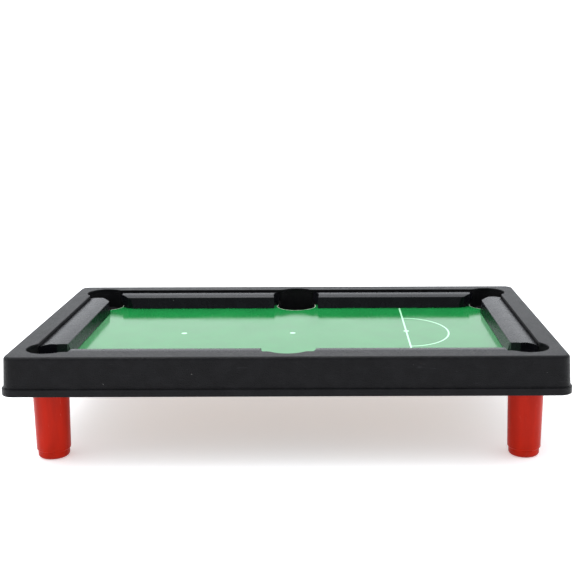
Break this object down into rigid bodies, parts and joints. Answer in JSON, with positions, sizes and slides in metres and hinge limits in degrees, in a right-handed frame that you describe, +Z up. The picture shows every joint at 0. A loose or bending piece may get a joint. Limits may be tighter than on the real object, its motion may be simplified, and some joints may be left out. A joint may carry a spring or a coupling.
{
  "type": "mini pool table",
  "caption": "Tabletop pool table: moulded rail frame with crowned cushions, printed playing surface, pocket cups and push-in tapered legs.",
  "frame": {"origin": "on the floor, under the middle of the table", "axes": "+X along the long side, the D on the +X half; +Y towards the back; +Z up"},
  "size_m": [0.5184, 0.3184, 0.1045],
  "materials": {
    "rail_black": "fine leathery grain, satin",
    "cushion_black": "satin with faint mould marks",
    "cup_black": "smooth satin",
    "print_green": "glossy printed film with white table lines",
    "hardboard": "pressed fibre board, matte",
    "leg_red": "moulded, soft gloss",
    "screw_steel": "zinc plated"
  },
  "bodies": {
    "table": {"rail_frame": "rail_black", "printed_sheet": "print_green", "playing_board": "hardboard", "cushion_front_left": "cushion_black", "cushion_front_right": "cushion_black", "cushion_back_left": "cushion_black", "cushion_back_right": "cushion_black", "cushion_left": "cushion_black", "cushion_right": "cushion_black", "pocket_cup_front_left": "cup_black", "pocket_cup_front_right": "cup_black", "pocket_cup_back_left": "cup_black", "pocket_cup_back_right": "cup_black", "pocket_cup_front_middle": "cup_black", "pocket_cup_back_middle": "cup_black", "board_screws": "screw_steel", "cushion_screws": "screw_steel", "cup_screws": "screw_steel"},
    "leg_front_left": {"leg_front_left": "leg_red"},
    "leg_front_right": {"leg_front_right": "leg_red"},
    "leg_back_left": {"leg_back_left": "leg_red"},
    "leg_back_right": {"leg_back_right": "leg_red"}
  },
  "joints": [
    {"name": "leg_front_left_pull", "type": "slide", "parent": "table", "child": "leg_front_left", "axis": [0, 0, -1], "range_m": [0, 0.012]},
    {"name": "leg_front_right_pull", "type": "slide", "parent": "table", "child": "leg_front_right", "axis": [0, 0, -1], "range_m": [0, 0.012]},
    {"name": "leg_back_left_pull", "type": "slide", "parent": "table", "child": "leg_back_left", "axis": [0, 0, -1], "range_m": [0, 0.012]},
    {"name": "leg_back_right_pull", "type": "slide", "parent": "table", "child": "leg_back_right", "axis": [0, 0, -1], "range_m": [0, 0.012]}
  ]
}
